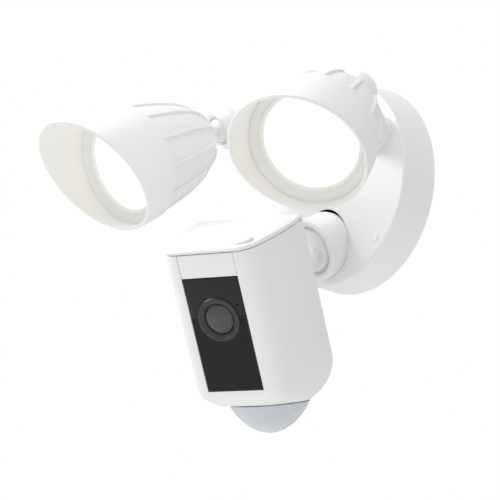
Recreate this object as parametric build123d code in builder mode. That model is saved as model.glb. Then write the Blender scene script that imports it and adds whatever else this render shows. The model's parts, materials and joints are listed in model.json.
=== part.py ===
from build123d import *
from math import sin, cos, tan, radians, sqrt
import os

os.makedirs("parts", exist_ok=True)

# ---------------------------------------------------------------------------
# Wall-mounted floodlight security camera.  Millimetres.
# Origin: centre of the round canopy on the wall plane (y = 0).
# +Y points into the wall, the front faces -Y, +Z is up, +X is to the right.
# ---------------------------------------------------------------------------

# canopy (round base)
can_r = 68.4          # drum radius at the wall
can_rf = 66.8         # drum radius at its front edge
can_edge = 25.2       # drum depth
can_apex = 31.0       # depth at the middle of the crowned face
can_t = 2.4           # moulded wall

# lamp arms
arm_seat = (43.0, 26.0)       # x, z of each arm's seat on the canopy face
arm_seat_y = -29.5
arm_tube_r = 10.5
joint_x, joint_y, joint_z = 63.0, -65.0, 41.0     # lamp ball centres (mirrored in x)
knuckle_r = 13.5
lball_r = 9.5
lstem_r = 4.5
run = 0.05                    # running clearance of every ball and pivot
knuckle_open = 62.0           # half angle of the knuckle's mouth, degrees
knuckle_yaw, knuckle_pitch = 12.0, 30.0

# lamp heads: yaw (towards +X) and pitch (down) at rest
aim = {"left": (-2.5, 27.0), "right": (27.0, 34.0)}
mouth_tilt = 22.0             # visor cut, top lip longest
mouth_d = 113.5               # ball centre to mouth plane, along the axis
lens_d = 87.0                 # ball centre to the lens face

# camera ball
cball = (0.0, -34.0, -42.5)
cball_r = 16.5
csocket_r = 20.5
csocket_in = 18.05
csocket_pitch = 27.0
ccollar_r = 9.5
csocket_open = 63.0

# camera unit
unit_yaw, unit_pitch = 21.3, 31.1
unit_o = (32.3, -138.0, -116.4)      # middle of the black face panel
panel_w, panel_top, panel_bot = 37.0, 35.7, -35.7
lens_v = 9.7
cap_v, cap_slope = 50.8, 0.035       # cap seam, falling towards the back
rear_n = -64.0
wall = 2.2


def vadd(a, b, k=1.0):
    return (a[0] + k * b[0], a[1] + k * b[1], a[2] + k * b[2])


def cross(a, b):
    return (a[1] * b[2] - a[2] * b[1], a[2] * b[0] - a[0] * b[2], a[0] * b[1] - a[1] * b[0])


def aim_axes(yaw, pitch):
    """Right, up and forward directions of a piece aimed by yaw and pitch."""
    y, p = radians(yaw), radians(pitch)
    n = (sin(y) * cos(p), -cos(y) * cos(p), -sin(p))
    u = (cos(y), sin(y), 0.0)
    return u, cross(n, u), n


# =================== canopy and what it holds ===============================
sock_b = (0.0, -cos(radians(csocket_pitch)), -sin(radians(csocket_pitch)))
sock_plane = Plane(origin=cball, x_dir=(1, 0, 0), z_dir=sock_b)

with BuildPart() as canopy_shell:
    with BuildSketch(Plane.XY) as canopy_profile:
        with BuildLine():
            Line((can_r, 0), (can_rf, -can_edge))
            ThreePointArc((can_rf, -can_edge), (can_rf * 0.5, -can_apex + (can_apex - can_edge) * 0.26), (0, -can_apex))
            Line((0, -can_apex), (0, -can_apex + can_t))
            ThreePointArc((0, -can_apex + can_t), (can_rf * 0.48, -can_apex + can_t + (can_apex - can_edge) * 0.25),
                          (can_rf - can_t, -can_edge + can_t))
            Line((can_rf - can_t, -can_edge + can_t), (can_r - can_t, 0))
            Line((can_r - can_t, 0), (can_r, 0))
        make_face()
        fillet(canopy_profile.vertices().sort_by_distance((can_rf, -can_edge))[0], 2.0)
    revolve(axis=Axis.Y)
    # flat seats for the two arms
    with BuildSketch(Plane.XZ.offset(23.0)):
        with Locations((arm_seat[0], arm_seat[1]), (-arm_seat[0], arm_seat[1])):
            Circle(12.8)
    extrude(amount=-arm_seat_y - 23.0)
    # posts for the back plate's screws
    with BuildSketch(Plane.XZ.offset(6.0)):
        with Locations((22, 53), (-22, 53), (42, -40), (-42, -40)):
            Circle(3.4)
    extrude(amount=20.6)
    # lug that hooks through the bracket's window
    with BuildSketch(Plane.XZ.offset(6.8)):
        with Locations((63.2, 0)):
            Rectangle(6.0, 9.0)
    extrude(amount=2.6)
    # arm tail holes
    with BuildSketch(Plane.XZ.offset(20.0)):
        with Locations((arm_seat[0], arm_seat[1]), (-arm_seat[0], arm_seat[1])):
            Circle(8.1)
    extrude(amount=14, mode=Mode.SUBTRACT)
    # camera socket hole
    with BuildSketch(sock_plane.offset(-26)):
        Circle(csocket_r + 0.1)
    extrude(amount=60, mode=Mode.SUBTRACT)
    # screw pilot holes and the side fixing hole
    with BuildSketch(Plane.XZ.offset(5.0)):
        with Locations((22, 53), (-22, 53), (42, -40), (-42, -40)):
            Circle(1.3)
    extrude(amount=13, mode=Mode.SUBTRACT)
    with BuildSketch(Plane.YZ.offset(-72)):
        with Locations((-9.0, 0)):
            Circle(2.1)
    extrude(amount=12, mode=Mode.SUBTRACT)
canopy_shell.part.label = "canopy_shell"
export_step(canopy_shell.part, "parts/canopy_shell.step")

with BuildPart() as canopy_back_plate:
    with BuildSketch(Plane.XZ.offset(4.0)):
        Circle(64.6)
        with Locations((0, 27)):
            Circle(11.0, mode=Mode.SUBTRACT)
        with Locations((63, 0), (-63, 0)):
            Rectangle(10, 22, mode=Mode.SUBTRACT)
        with Locations((22, 53), (-22, 53), (42, -40), (-42, -40)):
            Circle(1.8, mode=Mode.SUBTRACT)
    extrude(amount=2.0)
    with BuildSketch(Plane.XZ.offset(6.0)):
        with Locations((30, -12), (-30, -12), (30, 28), (-30, 28)):
            Circle(3.0)
    extrude(amount=4.0)
canopy_back_plate.part.label = "canopy_back_plate"
export_step(canopy_back_plate.part, "parts/canopy_back_plate.step")

with BuildPart() as back_plate_screws:
    with BuildSketch(Plane.XZ.offset(2.4)):
        with Locations((22, 53), (-22, 53), (42, -40), (-42, -40)):
            Circle(2.9)
    extrude(amount=1.6)
    with BuildSketch(Plane.XZ.offset(4.0)):
        with Locations((22, 53), (-22, 53), (42, -40), (-42, -40)):
            Circle(1.3)
    extrude(amount=11.0)
back_plate_screws.part.label = "back_plate_screws"
export_step(back_plate_screws.part, "parts/back_plate_screws.step")

with BuildPart() as wall_gasket:
    with BuildSketch(Plane.XZ):
        Circle(65.3)
        Circle(61.2, mode=Mode.SUBTRACT)
        Rectangle(140, 25, mode=Mode.SUBTRACT)
    extrude(amount=4.0)
wall_gasket.part.label = "wall_gasket"
export_step(wall_gasket.part, "parts/wall_gasket.step")

with BuildPart() as mounting_bracket:
    with BuildSketch(Plane.XZ):
        Rectangle(127.2, 24)
        with Locations((40, 0), (-40, 0)):
            SlotOverall(20, 4.8, mode=Mode.SUBTRACT)
        with Locations((0, 7), (0, -7)):
            Circle(1.75, mode=Mode.SUBTRACT)
    extrude(amount=1.6)
    with BuildSketch(Plane.XZ.offset(1.6)):
        with Locations((62.8, 0), (-62.8, 0)):
            Rectangle(1.6, 16)
    extrude(amount=12.0)
    # window for the canopy's lug
    with BuildSketch(Plane.YZ.offset(60)):
        with Locations((-8.1, 0)):
            Rectangle(4.2, 10.5)
    extrude(amount=6, mode=Mode.SUBTRACT)
    # tapped hole for the side screw
    with BuildSketch(Plane.YZ.offset(-66)):
        with Locations((-9.0, 0)):
            Circle(1.7)
    extrude(amount=6, mode=Mode.SUBTRACT)
mounting_bracket.part.label = "mounting_bracket"
export_step(mounting_bracket.part, "parts/mounting_bracket.step")

with BuildPart() as canopy_side_screw:
    with BuildSketch(Plane.YZ.offset(-68.3)):
        with Locations((-9.0, 0)):
            Circle(3.6)
    extrude(amount=-1.7)
    with BuildSketch(Plane.YZ.offset(-68.3)):
        with Locations((-9.0, 0)):
            Circle(1.7)
    extrude(amount=9.0)
canopy_side_screw.part.label = "canopy_side_screw"
export_step(canopy_side_screw.part, "parts/canopy_side_screw.step")

with BuildPart() as power_board:
    with BuildSketch(Plane.XZ.offset(10.0)):
        with Locations((0, 8)):
            RectangleRounded(70, 48, 2)
    extrude(amount=1.6)
power_board.part.label = "power_board"
export_step(power_board.part, "parts/power_board.step")

with BuildPart() as transformer:
    with BuildSketch(Plane.XZ.offset(11.6)):
        with Locations((-14, 10)):
            Rectangle(22, 18)
    extrude(amount=12)
    with BuildSketch(Plane.XZ.offset(13.6)):
        with Locations((-14, 10)):
            RectangleRounded(17, 23, 3)
    extrude(amount=8)
transformer.part.label = "transformer"
export_step(transformer.part, "parts/transformer.step")

with BuildPart() as capacitors:
    with BuildSketch(Plane.XZ.offset(11.6)):
        with Locations((9, 22), (9, 9)):
            Circle(5.0)
    extrude(amount=13)
capacitors.part.label = "capacitors"
export_step(capacitors.part, "parts/capacitors.step")

with BuildPart() as terminal_block:
    with BuildSketch(Plane.XZ.offset(11.6)):
        with Locations((6, -8)):
            Rectangle(26, 10)
    extrude(amount=9)
    with BuildSketch(Plane.XZ.offset(20.6)):
        with Locations((-2.5, -8), (6, -8), (14.5, -8)):
            Circle(2.2)
    extrude(amount=-4, mode=Mode.SUBTRACT)
terminal_block.part.label = "terminal_block"
export_step(terminal_block.part, "parts/terminal_block.step")

with BuildPart() as arm_nuts:
    with BuildSketch(Plane.XZ.offset(18.6)):
        with Locations((arm_seat[0], arm_seat[1]), (-arm_seat[0], arm_seat[1])):
            RegularPolygon(10.6, 6)
            Circle(8.0, mode=Mode.SUBTRACT)
    extrude(amount=4.4)
arm_nuts.part.label = "arm_nuts"
export_step(arm_nuts.part, "parts/arm_nuts.step")

# =================== camera socket ==========================================
# profile coordinates: x = radius, y = distance along the socket axis
sock_profile = Plane(origin=cball, x_dir=(1, 0, 0), z_dir=cross((1, 0, 0), sock_b))
sock_axis = Axis(cball, sock_b)
so, ci = radians(csocket_open), csocket_in
with BuildPart() as camera_socket:
    with BuildSketch(sock_profile):
        with BuildLine():
            ThreePointArc((ci * sin(so), ci * cos(so)), (ci * sin(radians(110)), ci * cos(radians(110))),
                          (7.0, -sqrt(ci * ci - 49.0)))
            Line((7.0, -sqrt(ci * ci - 49.0)), (7.0, -19.4))
            Line((7.0, -19.4), (12.0, -19.4))
            ThreePointArc((12.0, -19.4), (18.2, -14.4), (csocket_r, -9.0))
            Line((csocket_r, -9.0), (csocket_r, 7.6))
            ThreePointArc((csocket_r, 7.6), (csocket_r - 0.7, 9.3), (csocket_r - 2.2, 10.0))
            Line((csocket_r - 2.2, 10.0), (ci * sin(so) + 1.0, 10.0))
            Line((ci * sin(so) + 1.0, 10.0), (ci * sin(so), ci * cos(so)))
        make_face()
    revolve(axis=sock_axis)
camera_socket.part.label = "camera_socket"
export_step(camera_socket.part, "parts/camera_socket.step")

unit_u, unit_v, unit_n = aim_axes(unit_yaw, unit_pitch)
neck_end = vadd(vadd(unit_o, unit_v, 3.0), unit_n, -61.0)     # middle of the neck's flange
nd = (neck_end[0] - cball[0], neck_end[1] - cball[1], neck_end[2] - cball[2])
nl = sqrt(nd[0] ** 2 + nd[1] ** 2 + nd[2] ** 2)
neck_w = (nd[0] / nl, nd[1] / nl, nd[2] / nl)
hx = sqrt(neck_w[0] ** 2 + neck_w[1] ** 2)
neck_side = (-neck_w[1] / hx, neck_w[0] / hx, 0.0)             # horizontal, square to the neck
neck_profile = Plane(origin=cball, x_dir=neck_side, z_dir=cross(neck_side, neck_w))
neck_axis = Axis(cball, neck_w)
print("neck direction", [round(c, 4) for c in neck_w], "tilt axis", [round(c, 4) for c in neck_side], "length", round(nl, 2))

# friction liner: a spherical cup that turns in the socket
lo = radians(64.0)
li, lr = cball_r + run, csocket_in - run
with BuildPart() as camera_liner:
    with BuildSketch(sock_profile):
        with BuildLine():
            ThreePointArc((li * sin(lo), li * cos(lo)), (li, 0), (li * sin(radians(140)), li * cos(radians(140))))
            Line((li * sin(radians(140)), li * cos(radians(140))), (lr * sin(radians(140)), lr * cos(radians(140))))
            ThreePointArc((lr * sin(radians(140)), lr * cos(radians(140))), (lr, 0), (lr * sin(lo), lr * cos(lo)))
            Line((lr * sin(lo), lr * cos(lo)), (li * sin(lo), li * cos(lo)))
        make_face()
    revolve(axis=sock_axis)
camera_liner.part.label = "camera_liner"
export_step(camera_liner.part, "parts/camera_liner.step")

with BuildPart() as camera_ball:
    with BuildSketch(neck_profile):
        with BuildLine():
            Line((3.0, sqrt(cball_r ** 2 - 9.0) * -1), (3.0, 28.0))
            Line((3.0, 28.0), (6.0, 28.0))
            Line((6.0, 28.0), (6.0, 17.2))
            Line((6.0, 17.2), (ccollar_r, 17.2))
            Line((ccollar_r, 17.2), (ccollar_r, sqrt(cball_r ** 2 - ccollar_r ** 2)))
            ThreePointArc((ccollar_r, sqrt(cball_r ** 2 - ccollar_r ** 2)), (cball_r, 0), (3.0, -sqrt(cball_r ** 2 - 9.0)))
        make_face()
    revolve(axis=neck_axis)
camera_ball.part.label = "camera_ball"
export_step(camera_ball.part, "parts/camera_ball.step")

rear_plane = Plane(origin=vadd(unit_o, unit_n, -61.0), x_dir=unit_u, z_dir=unit_n)
with BuildPart() as camera_neck:
    with BuildSketch(neck_profile):
        with BuildLine():
            Line((6.0 + run, 17.5), (ccollar_r, 17.5))
            Spline((ccollar_r, 17.5), (11.0, 27.0), (12.6, 44.0), (15.5, 62.0), tangents=((0.1, 1), (0.5, 1)))
            Line((15.5, 62.0), (15.5, 72.0))
            Line((15.5, 72.0), (3.5, 72.0))
            Line((3.5, 72.0), (3.5, 29.0))
            Line((3.5, 29.0), (6.0 + run, 29.0))
            Line((6.0 + run, 29.0), (6.0 + run, 17.5))
        make_face()
    revolve(axis=neck_axis)
    split(bisect_by=rear_plane, keep=Keep.BOTTOM)
    with BuildSketch(rear_plane.offset(-3.0)):
        with Locations((0, 3.0)):
            Circle(18.0)
            Circle(8.0, mode=Mode.SUBTRACT)
    extrude(amount=3.0)
    with BuildSketch(rear_plane):
        with Locations((0, 3.0)):
            with PolarLocations(13.0, 3, start_angle=90):
                Circle(1.25)
    extrude(amount=-4.5, mode=Mode.SUBTRACT)
camera_neck.part.label = "camera_neck"
export_step(camera_neck.part, "parts/camera_neck.step")

# =================== arms and lamp heads =====================================
for side, sx in (("left", -1.0), ("right", 1.0)):
    J = (sx * joint_x, joint_y, joint_z)
    ku, kv, kn = aim_axes(sx * knuckle_yaw, knuckle_pitch)
    u, v, n = aim_axes(*aim[side])
    knuckle_profile = Plane(origin=J, x_dir=ku, z_dir=cross(ku, kn))
    head_profile = Plane(origin=J, x_dir=u, z_dir=cross(u, n))
    head_plane = Plane(origin=J, x_dir=u, z_dir=n)
    head_axis = Axis(J, n)
    ko, kin, kwall = radians(knuckle_open), lball_r + 1.5, 2.5

    # hollow of the knuckle: a spherical seat with a conical mouth
    with BuildPart() as seat:
        with BuildSketch(knuckle_profile):
            with BuildLine():
                Line((0, -kin), (0, 20.0))
                Line((0, 20.0), (20.0 * tan(ko), 20.0))
                Line((20.0 * tan(ko), 20.0), (kin * sin(ko), kin * cos(ko)))
                ThreePointArc((kin * sin(ko), kin * cos(ko)), (kin, 0), (0, -kin))
            make_face()
        revolve(axis=Axis(J, kn))

    # curved cast arm with a tail (left one built, right one its mirror image) for its nut and a spherical knuckle
    with BuildPart() as arm:
        with BuildLine():
            arm_path = FilletPolyline((sx * 38.0, -22.0, 24.8), (sx * 53.0, -44.5, 28.5), J, radius=16)
        with BuildSketch(Plane(origin=arm_path @ 0, z_dir=arm_path % 0)):
            Circle(arm_tube_r)
        sweep()
        split(bisect_by=Plane.XZ.offset(-arm_seat_y), keep=Keep.TOP)
        with BuildSketch(Plane.XZ.offset(-arm_seat_y)):
            with Locations((sx * arm_seat[0], arm_seat[1])):
                Circle(12.6)
        extrude(amount=2.4)
        with BuildSketch(Plane.XZ.offset(15.0)):
            with Locations((sx * arm_seat[0], arm_seat[1])):
                Circle(8.0)
        extrude(amount=-arm_seat_y - 15.0)
        with BuildSketch(knuckle_profile):
            with BuildLine():
                Line((0, -knuckle_r), (0, knuckle_r))
                ThreePointArc((0, knuckle_r), (knuckle_r, 0), (0, -knuckle_r))
            make_face()
        revolve(axis=Axis(J, kn))
        add(seat.part, mode=Mode.SUBTRACT)
        # cable way through the tail
        with BuildSketch(Plane.XZ.offset(14.0)):
            with Locations((sx * arm_seat[0], arm_seat[1])):
                Circle(4.5)
        extrude(amount=22.0, mode=Mode.SUBTRACT)
    if side == "right":
        with BuildPart() as arm:
            add(left_arm)
            mirror(about=Plane.YZ, mode=Mode.REPLACE)
    left_arm = arm.part
    arm.part.label = f"arm_{side}"
    export_step(arm.part, f"parts/arm_{side}.step")

    # friction liner between knuckle and ball
    bo, bi, br = radians(62.5), lball_r + run, lball_r + 1.5 - run
    with BuildPart() as lamp_liner:
        with BuildSketch(knuckle_profile):
            with BuildLine():
                ThreePointArc((bi * sin(bo), bi * cos(bo)), (bi, 0), (bi * sin(radians(145)), bi * cos(radians(145))))
                Line((bi * sin(radians(145)), bi * cos(radians(145))), (br * sin(radians(145)), br * cos(radians(145))))
                ThreePointArc((br * sin(radians(145)), br * cos(radians(145))), (br, 0), (br * sin(bo), br * cos(bo)))
                Line((br * sin(bo), br * cos(bo)), (bi * sin(bo), bi * cos(bo)))
            make_face()
        revolve(axis=Axis(J, kn))
    lamp_liner.part.label = f"lamp_liner_{side}"
    export_step(lamp_liner.part, f"parts/lamp_liner_{side}.step")

    with BuildPart() as ball_stud:
        with BuildSketch(head_profile):
            with BuildLine():
                Line((1.8, -sqrt(lball_r ** 2 - 1.8 ** 2)), (1.8, 26.5))
                Line((1.8, 26.5), (lstem_r, 26.5))
                Line((lstem_r, 26.5), (lstem_r, sqrt(lball_r ** 2 - lstem_r ** 2)))
                ThreePointArc((lstem_r, sqrt(lball_r ** 2 - lstem_r ** 2)), (lball_r, 0), (1.8, -sqrt(lball_r ** 2 - 1.8 ** 2)))
            make_face()
        revolve(axis=head_axis)
    ball_stud.part.label = f"ball_stud_{side}"
    export_step(ball_stud.part, f"parts/ball_stud_{side}.step")

    # finned aluminium heat sink: a cup whose panels sit between twelve ribs
    with BuildPart() as heat_sink:
        with BuildSketch(head_profile):
            with BuildLine():
                Polyline((lstem_r + run, 14.3), (8.2, 14.3), (9.4, 19.4), (11.0, 19.4))
                Spline((11.0, 19.4), (17.6, 25.0), (23.8, 34.0), (28.0, 46.0), (31.0, 61.5), tangents=((1, 0.35), (0.12, 1)))
                Polyline((31.0, 61.5), (31.0, 64.0), (25.0, 64.0), (25.0, 50.0), (15.5, 32.0), (12.0, 28.0), (lstem_r + run, 28.0),
                         (lstem_r + run, 14.3))
            make_face()
        revolve(axis=head_axis)
        for i in range(6):
            a = radians(15.0 + 30.0 * i)
            rd = (u[0] * cos(a) + v[0] * sin(a), u[1] * cos(a) + v[1] * sin(a), u[2] * cos(a) + v[2] * sin(a))
            with BuildSketch(Plane(origin=J, x_dir=rd, z_dir=cross(rd, n))):
                for m in (1.0, -1.0):
                    with BuildLine():
                        Polyline((m * 9.5, 19.0), (m * 12.2, 18.2))
                        Spline((m * 12.2, 18.2), (m * 19.4, 24.4), (m * 25.6, 33.6), (m * 29.8, 46.0), (m * 32.8, 61.2),
                               tangents=((m * 1, 0.35), (m * 0.1, 1)))
                        Polyline((m * 32.8, 61.2), (m * 29.0, 61.2), (m * 26.6, 48.0), (m * 18.5, 31.0), (m * 9.5, 22.5), (m * 9.5, 19.0))
                    make_face()
            extrude(amount=0.8, both=True)
    heat_sink.part.label = f"heat_sink_{side}"
    export_step(heat_sink.part, f"parts/heat_sink_{side}.step")

    # retaining nut on the stud's end, inside the heat sink
    with BuildPart() as stud_nut:
        with BuildSketch(head_plane.offset(28.1)):
            RegularPolygon(6.0, 6)
            Circle(2.6, mode=Mode.SUBTRACT)
        extrude(amount=2.6)
        with BuildSketch(head_plane.offset(26.6)):
            Circle(4.2)
            Circle(2.6, mode=Mode.SUBTRACT)
        extrude(amount=1.5)
    stud_nut.part.label = f"stud_nut_{side}"
    export_step(stud_nut.part, f"parts/stud_nut_{side}.step")

    # hood: flared barrel with a slanted mouth and an inner seat for the lens
    mt = radians(mouth_tilt)
    m_dir = tuple(n[i] * cos(mt) - v[i] * sin(mt) for i in range(3))
    mouth = Plane(origin=vadd(vadd(J, n, mouth_d), v, 0.9), x_dir=u, z_dir=m_dir)
    with BuildPart() as hood:
        with BuildSketch(head_profile):
            with BuildLine():
                Polyline((31.1, 61.6), (34.4, 61.6))
                Spline((34.4, 61.6), (36.6, 72.0), (39.0, 86.0), (40.9, 113.0), (42.0, 134.0), tangents=((0.35, 1), (0.03, 1)))
                Line((42.0, 134.0), (39.8, 134.0))
                Spline((39.8, 134.0), (38.7, 113.0), (37.0, 90.0), (36.5, 84.0), tangents=((-0.03, -1), (-0.1, -1)))
                Polyline((36.5, 84.0), (33.2, 84.0), (33.2, 81.4), (36.0, 81.4))
                Line((36.0, 81.4), (33.2, 64.0))
                Polyline((33.2, 64.0), (31.1, 64.0), (31.1, 61.6))
            make_face()
        revolve(axis=head_axis)
        split(bisect_by=mouth, keep=Keep.BOTTOM)
    hood.part.label = f"hood_{side}"
    export_step(hood.part, f"parts/hood_{side}.step")

    with BuildPart() as led_board:
        with BuildSketch(head_plane.offset(64.0)):
            Circle(29.5)
            with PolarLocations(27.0, 3):
                Circle(1.6, mode=Mode.SUBTRACT)
        extrude(amount=1.6)
    led_board.part.label = f"led_board_{side}"
    export_step(led_board.part, f"parts/led_board_{side}.step")

    with BuildPart() as led_chips:
        with BuildSketch(head_plane.offset(65.6)):
            with PolarLocations(11.0, 8):
                Rectangle(3.5, 3.5)
            Rectangle(3.5, 3.5)
        extrude(amount=0.9)
    led_chips.part.label = f"led_chips_{side}"
    export_step(led_chips.part, f"parts/led_chips_{side}.step")

    with BuildPart() as reflector:
        with BuildSketch(head_profile):
            with BuildLine():
                Polyline((18.0, 65.8), (30.6, 83.9), (32.6, 83.9), (32.6, 82.9), (31.4, 82.9), (19.6, 65.8), (18.0, 65.8))
            make_face()
        revolve(axis=head_axis)
    reflector.part.label = f"reflector_{side}"
    export_step(reflector.part, f"parts/reflector_{side}.step")

    with BuildPart() as lamp_lens:
        with BuildSketch(head_profile):
            with BuildLine():
                Polyline((0, 84.2), (31.5, 84.2), (31.5, 86.4), (29.0, 86.4))
                Spline((29.0, 86.4), (15.0, 87.22), (0, 87.5), tangents=((-1, 0.075), (-1, 0)))
                Line((0, 87.5), (0, 84.2))
            make_face()
        revolve(axis=head_axis)
    lamp_lens.part.label = f"lamp_lens_{side}"
    export_step(lamp_lens.part, f"parts/lamp_lens_{side}.step")

    with BuildPart() as lens_seal:
        with BuildSketch(head_plane.offset(84.1)):
            Circle(34.2)
            Circle(31.7, mode=Mode.SUBTRACT)
        extrude(amount=2.4)
    lens_seal.part.label = f"lens_seal_{side}"
    export_step(lens_seal.part, f"parts/lens_seal_{side}.step")

    with BuildPart() as lens_bezel:
        with BuildSketch(head_profile):
            with BuildLine():
                Polyline((29.4, 86.6), (36.2, 86.6), (36.4, 88.0), (34.4, 89.6), (30.4, 89.0), (29.0, 88.0), (29.4, 86.6))
            make_face()
        revolve(axis=head_axis)
    lens_bezel.part.label = f"lens_bezel_{side}"
    export_step(lens_bezel.part, f"parts/lens_bezel_{side}.step")

# =================== camera unit =============================================
# unit frame: u right, v up, n forward; the black panel's face is n = 0
inner_outline = [(23.6, 3.0), (27.4, 7.9), (30.35, 17.1), (32.65, 29.3), (33.95, 41.1), (34.1, 52.5), (34.0, 60.0)]
half_outline = [(21.0, 0.0), (26.3, 2.4), (29.6, 6.8), (32.6, 16.6), (34.9, 29.0), (36.2, 41.0), (36.4, 52.5), (35.2, 64.0)]


def unit_level(vv):
    """Plane square to the unit's height: local x = u, local y = -n."""
    return Plane(origin=vadd(unit_o, unit_v, vv), x_dir=unit_u, z_dir=unit_v)


unit_side = Plane(origin=unit_o, x_dir=tuple(-c for c in unit_n), z_dir=unit_u)     # x = -n, y = v
unit_front = Plane(origin=unit_o, x_dir=unit_u, z_dir=unit_n)                        # x = u, y = v
cap_plane = Plane(origin=vadd(unit_o, unit_v, cap_v), x_dir=unit_u,
                  z_dir=(unit_v[0] - cap_slope * unit_n[0], unit_v[1] - cap_slope * unit_n[1], unit_v[2] - cap_slope * unit_n[2]))
seam_v0, seam_slope = -47.4, 0.325
seam_plane = Plane(origin=vadd(unit_o, unit_v, seam_v0), x_dir=unit_u,
                   z_dir=(unit_v[0] - seam_slope * unit_n[0], unit_v[1] - seam_slope * unit_n[1], unit_v[2] - seam_slope * unit_n[2]))

with BuildSketch(Plane.XY) as outline_sketch:
    with BuildLine():
        Line((0, 0), half_outline[0])
        Spline(*half_outline, tangents=((1, 0.12), (-0.22, 1)))
        Line(half_outline[-1], (0, 64.0))
        mirror(about=Plane.YZ)
    make_face()

with BuildPart() as unit_cavity:
    with BuildSketch(unit_level(-54.0)):
        with BuildLine():
            Line((0, 3.0), inner_outline[0])
            Spline(*inner_outline, tangents=((0.62, 0.78), (-0.05, 1)))
            Line(inner_outline[-1], (0, 60.0))
            mirror(about=Plane.YZ)
        make_face()
    extrude(amount=120)
    with BuildSketch(unit_side) as cavity_side:
        with BuildLine():
            Polyline((5.0, 60.0), (5.0, -36.0), (9.5, -46.6))
            Line((9.5, -46.6), (48.5, -59.4))
            Polyline((48.5, -59.4), (56.8, -41.0), (56.8, 60.0), (5.0, 60.0))
        make_face()
    extrude(amount=60, both=True, mode=Mode.INTERSECT)
    with BuildSketch(unit_front) as cavity_front:
        with BuildLine():
            Polyline((37.0, 60.0), (37.0, -29.5), (34.7, -29.5))
            ThreePointArc((34.7, -29.5), (30.8, -45.6), (22.0, -54.6))
            Line((22.0, -54.6), (22.0, -64.0))
            Line((22.0, -64.0), (-22.0, -64.0))
            Line((-22.0, -64.0), (-22.0, -54.6))
            ThreePointArc((-22.0, -54.6), (-30.8, -45.6), (-34.7, -29.5))
            Polyline((-34.7, -29.5), (-37.0, -29.5), (-37.0, 60.0), (37.0, 60.0))
        make_face()
    extrude(amount=90, both=True, mode=Mode.INTERSECT)

with BuildPart() as unit_shell:
    with BuildSketch(unit_level(-75.0)):
        add(outline_sketch.sketch)
    extrude(amount=130)
    with BuildSketch(unit_side):
        with BuildLine():
            Polyline((-2.0, 60.0), (-2.0, -37.0), (0.0, -37.0))
            ThreePointArc((0.0, -37.0), (2.0, -44.2), (7.0, -49.7))
            Polyline((7.0, -49.7), (50.0, -63.65))
            ThreePointArc((50.0, -63.65), (60.0, -54.4), (64.0, -41.0))
            Polyline((64.0, -41.0), (64.0, 60.0), (-2.0, 60.0))
        make_face()
    extrude(amount=60, both=True, mode=Mode.INTERSECT)
    with BuildSketch(unit_front):
        with BuildLine():
            Polyline((38.0, 60.0), (38.0, -30.0), (36.9, -30.0))
            ThreePointArc((36.9, -30.0), (33.1, -46.6), (24.4, -56.2))
            Polyline((24.4, -56.2), (24.4, -70.0), (-24.4, -70.0), (-24.4, -56.2))
            ThreePointArc((-24.4, -56.2), (-33.1, -46.6), (-36.9, -30.0))
            Polyline((-36.9, -30.0), (-38.0, -30.0), (-38.0, 60.0), (38.0, 60.0))
        make_face()
    extrude(amount=90, both=True, mode=Mode.INTERSECT)
    split(bisect_by=cap_plane, keep=Keep.BOTTOM)
    add(unit_cavity.part, mode=Mode.SUBTRACT)
    # pocket and window for the face panel, grille and blank plate
    with BuildSketch(unit_front.offset(-3.2)):
        with Locations((0, (cap_v + 4 + panel_bot - 0.3) / 2)):
            Rectangle(panel_w + 0.6, cap_v + 4 - panel_bot + 0.3)
    extrude(amount=8, mode=Mode.SUBTRACT)
    with BuildSketch(unit_front.offset(-8.0)):
        with Locations((0, 6.0)):
            Rectangle(31.0, 78.0)
    extrude(amount=8, mode=Mode.SUBTRACT)
    # rear recess and window
    with BuildSketch(unit_front.offset(-66.0)):
        with Locations((0, 5.0)):
            Rectangle(60.0, 84.0)
    extrude(amount=7.0, mode=Mode.SUBTRACT)
    with BuildSketch(unit_front.offset(-60.0)):
        with Locations((0, 5.0)):
            Rectangle(47.0, 70.0)
    extrude(amount=5.0, mode=Mode.SUBTRACT)
    with BuildSketch(unit_front.offset(-60.0)):
        with Locations((26.5, 43.0), (-26.5, 43.0), (26.5, -33.0), (-26.5, -33.0)):
            Circle(1.4)
    extrude(amount=5.0, mode=Mode.SUBTRACT)
    # room for the setup button's flange
    with BuildSketch(cap_plane.offset(-3.6)):
        with Locations((20.5, 11.5)):
            Circle(7.8)
    extrude(amount=5.0, mode=Mode.SUBTRACT)
    # seat of the microphone
    with BuildSketch(unit_front.offset(-6.6)):
        with Locations((14.4, 18.4)):
            Circle(2.3)
    extrude(amount=4.0, mode=Mode.SUBTRACT)
    # mouth for the motion sensor
    with BuildSketch(seam_plane.offset(-2.0)):
        with Locations((0, 30.0)):
            Circle(21.0)
    extrude(amount=7.0, mode=Mode.SUBTRACT)
unit_shell.part.label = "unit_shell"
export_step(unit_shell.part, "parts/unit_shell.step")

# cap: plate on the slanted seam with a spigot inside the shell
btn_u, btn_n = 20.5, -11.5
with BuildPart() as unit_top_cap:
    with BuildSketch(unit_level(30.0)):
        add(outline_sketch.sketch)
    extrude(amount=40)
    split(bisect_by=cap_plane, keep=Keep.TOP)
    split(bisect_by=cap_plane.offset(2.4), keep=Keep.BOTTOM)
    with BuildSketch(cap_plane.offset(-2.6)):
        with Locations((0, 31.0)):
            RectangleRounded(56.0, 46.0, 8.0)
    extrude(amount=2.8)
    with BuildSketch(cap_plane.offset(-3.0)):
        with Locations((btn_u, -btn_n)):
            Circle(7.6)
    extrude(amount=3.6, mode=Mode.SUBTRACT)
    with BuildSketch(cap_plane.offset(-3.0)):
        with Locations((btn_u, -btn_n)):
            Circle(6.3)
    extrude(amount=8.0, mode=Mode.SUBTRACT)
unit_top_cap.part.label = "unit_top_cap"
export_step(unit_top_cap.part, "parts/unit_top_cap.step")

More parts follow.
